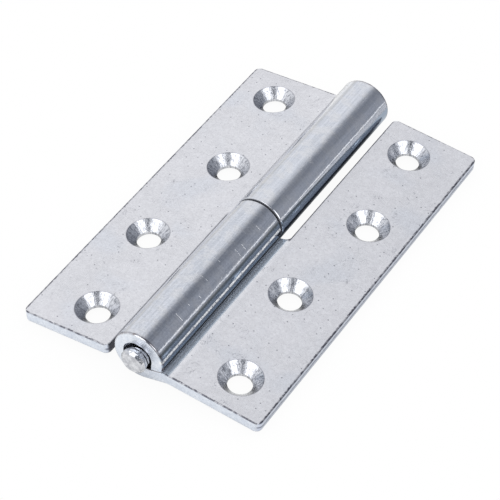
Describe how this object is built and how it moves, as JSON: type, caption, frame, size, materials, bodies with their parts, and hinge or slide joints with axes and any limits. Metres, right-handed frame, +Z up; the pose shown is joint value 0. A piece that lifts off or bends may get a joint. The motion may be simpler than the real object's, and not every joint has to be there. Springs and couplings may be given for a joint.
{
  "type": "lift-off hinge",
  "caption": "Pressed-steel lift-off hinge: countersunk leaves with rolled knuckles on a straight pin, along which the door leaf lifts off.",
  "frame": {"origin": "on the table under the pin's axis, halfway along the whole hinge with the pin's foot counted in", "axes": "+Y along the pin in the direction the door leaf lifts, +X towards the frame leaf, +Z up"},
  "size_m": [0.0626, 0.1024, 0.0128],
  "materials": {
    "leaf_plate": "bright zinc plate over pressed sheet, fine grain and small pits",
    "pin_steel": "bright zinc plate over drawn bar"
  },
  "bodies": {
    "frame_leaf": {"frame_leaf": "leaf_plate"},
    "pin": {"pin": "pin_steel"},
    "door_leaf": {"door_leaf": "leaf_plate"}
  },
  "joints": [
    {"name": "frame_swing", "type": "hinge", "parent": "frame_leaf", "child": "pin", "pos_m": [0, 0, 0.00641], "axis": [0, 1, 0], "range_deg": [-116, 191]},
    {"name": "door_lift", "type": "slide", "parent": "pin", "child": "door_leaf", "axis": [0, 1, 0], "range_m": [-0.0003, 0.105]}
  ]
}
